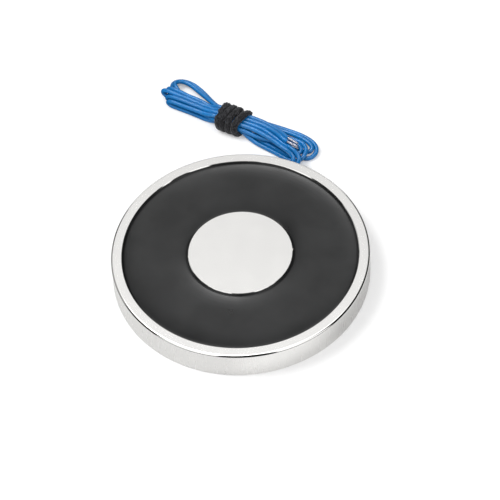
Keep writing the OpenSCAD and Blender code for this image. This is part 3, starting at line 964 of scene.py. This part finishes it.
def make_world():
    """White to the camera, a soft room on matt surfaces, and ceiling, lamps and panels in reflections."""
    world = bpy.data.worlds.new("studio")
    bpy.context.scene.world = world
    world.use_nodes = True
    tree = world.node_tree
    way = node(tree, "TexCoord").outputs["Generated"]
    x, y, z = node(tree, "SeparateXYZ", {0: way}).outputs
    rise = calc(tree, "MULTIPLY", calc(tree, "SUBTRACT", z, CEILING_AT), CEILING_RISE)
    left = calc(tree, "MULTIPLY", fit_range(tree, x, -0.3, 0.3, 0.3, -0.3, "LINEAR"), CEILING_LEFT)
    ceiling = calc(tree, "ADD", calc(tree, "ADD", rise, left), CEILING_LEVEL)
    behind = calc(tree, "MULTIPLY", fit_range(tree, z, *BEHIND_UP), fit_range(tree, y, *BEHIND_BACK))
    ceiling = calc(tree, "ADD", ceiling, calc(tree, "MULTIPLY", behind, CEILING_BEHIND))
    for lamp in LAMPS:
        glow = fit_range(tree, facing(tree, way, *lamp), LAMP_EDGE, LAMP_CORE, 0.0, LAMP_LEVEL)
        ceiling = calc(tree, "ADD", ceiling, glow)
    edge = fit_range(tree, calc(tree, "ADD", z, calc(tree, "MULTIPLY", y, CEILING_LEAN)), *CEILING_EDGE)
    azimuth = calc(tree, "ARCTAN2", y, x)
    low = ROOM_DARK
    for az, half, bright in PANELS:
        middle = math.radians((az + 180) % 360 - 180)
        off = calc(tree, "ABSOLUTE", calc(
            tree, "WRAP", calc(tree, "SUBTRACT", azimuth, middle), math.pi, -math.pi
        ))
        outer = math.radians(half + PANEL_SOFT)
        inner = math.radians(half - PANEL_SOFT)
        panel = fit_range(tree, off, outer, inner, 0.0, bright)
        low = calc(tree, "MAXIMUM", low, panel)
    shine = node(tree, "Mix", {0: edge, 2: low, 3: ceiling}).outputs[0]
    path = node(tree, "LightPath").outputs
    glossy = calc(tree, "MAXIMUM", path["Is Glossy Ray"], path["Is Transmission Ray"])
    front = fit_range(tree, facing(tree, way, *FRONT), FRONT_EDGE, 1.0, 0.0, FRONT_LEVEL)
    top = fit_range(tree, z, *ROOM_TOP_FROM, 0.0, ROOM_TOP)
    soft = calc(tree, "ADD", calc(tree, "ADD", front, top), ROOM_LEVEL)
    level = node(tree, "Mix", {0: glossy, 2: soft, 3: shine}).outputs[0]
    level = node(tree, "Mix", {0: path["Is Camera Ray"], 2: level, 3: 1.0}).outputs[0]
    world.cycles.sampling_method = "NONE"
    background = tree.nodes["Background"]
    background.inputs["Color"].default_value = (1, 1, 1, 1)
    tree.links.new(level, background.inputs["Strength"])


def make_key():
    """A broad soft key light from the left."""
    data = bpy.data.lights.new("key", "SUN")
    data.energy = math.pi * KEY_LEVEL / math.sin(math.radians(KEY_ELEVATION))
    data.angle = math.radians(KEY_ACROSS)
    key = bpy.data.objects.new("key", data)
    bpy.context.collection.objects.link(key)
    key.location = direction(KEY_AZ, KEY_ELEVATION)
    key.rotation_euler = key.location.to_track_quat("Z", "Y").to_euler()
    key.visible_glossy = False


def make_floor():
    """A floor that runs past every edge of the picture."""
    half = 4000
    floor = mesh_object(
        "floor", [(-half, -half, 0), (half, -half, 0), (half, half, 0), (-half, half, 0)], [(0, 1, 2, 3)]
    )
    floor.data.materials.append(floor_material())


def make_camera():
    """The camera as fitted to the two circles of the pole face, with no shift."""
    elevation = math.radians(51.476)
    roll = math.radians(-3.844)
    aim_right = 3.748
    aim_up = 0.835
    distance = 1082.1
    focal_px = 2809.1
    image_px = 500
    sensor_mm = 36
    right = Vector((1, 0, 0))
    up = Vector((0, math.sin(elevation), math.cos(elevation)))
    ahead = Vector((0, math.cos(elevation), -math.sin(elevation)))
    right_turned = math.cos(roll) * right + math.sin(roll) * up
    up_turned = math.cos(roll) * up - math.sin(roll) * right
    place = Vector((0, 0, POT_H)) + aim_right * right_turned + aim_up * up_turned - distance * ahead
    data = bpy.data.cameras.new("camera")
    camera = bpy.data.objects.new("camera", data)
    bpy.context.collection.objects.link(camera)
    camera.matrix_world = Matrix.Translation(place * MM) @ Matrix(
        (right_turned, up_turned, -ahead)
    ).transposed().to_4x4()
    data.sensor_width = sensor_mm
    data.lens = focal_px / image_px * sensor_mm
    data.clip_start = 0.01
    data.clip_end = 20
    bpy.context.scene.camera = camera


make_camera()
nickel = nickel_material()
resin = resin_material()
blue = blue_material()
black_cord = tie_material()
tinned = tinned_material()
dress(nodes["housing"], nickel)
dress(make_pot(), nickel)
dress(nodes["potting"], resin)
dress(nodes["grommet"], mottled(
    "black_rubber", (0.018, 0.018, 0.019), 0.2, 3, grain=0.00002, grain_size=0.25, roughness=0.62
))
dress(nodes["base_insulator"], mottled(
    "insulating_card", (0.74, 0.7, 0.56), 0.06, 2, grain=0.000008, grain_size=0.4, roughness=0.55
))
dress(nodes["bobbin"], mottled(
    "natural_nylon", (0.78, 0.74, 0.62), 0.04, 6, grain=0.000012, grain_size=0.3, roughness=0.45
))
dress(nodes["winding"], coil_material())
dress(nodes["winding_tape"], mottled(
    "amber_tape", (0.62, 0.32, 0.04), 0.08, 5, grain=0.000006, grain_size=0.8, roughness=0.22,
    coat_weight=0.4
))
sleeving = mottled(
    "clear_sleeving", (0.74, 0.7, 0.55), 0.1, 0.5, grain=0.00003, grain_size=0.16, roughness=0.4
)
solder = mottled(
    "solder", (0.62, 0.63, 0.65), 0.1, 0.8, grain=0.00001, grain_size=0.2, roughness=0.3, metallic=1.0
)
shrink = mottled(
    "black_heatshrink", (0.014, 0.014, 0.015), 0.2, 1.5, grain=0.00001, grain_size=0.3, roughness=0.38
)
for end in ("start", "finish"):
    dress(nodes[f"{end}_tail_sleeving"], sleeving)
    dress(nodes[f"{end}_splice"], solder)
    dress(nodes[f"{end}_splice_sleeve"], shrink)

tie, tie_rings = make_tie()
dress(tie, black_cord)
fuzz = make_fuzz(tie_rings)
dress(fuzz, black_cord)
make_creep(resin)
dress(make_thread(), nickel)
for letter, side, (inside, cord, line) in zip("ab", (1, -1), make_leads()):
    tip = make_tip(letter, line)
    dress(inside, blue)
    dress(cord, blue)
    dress(tip, tinned)

make_floor()
make_world()
make_key()
bpy.context.scene.view_settings.view_transform = "Standard"
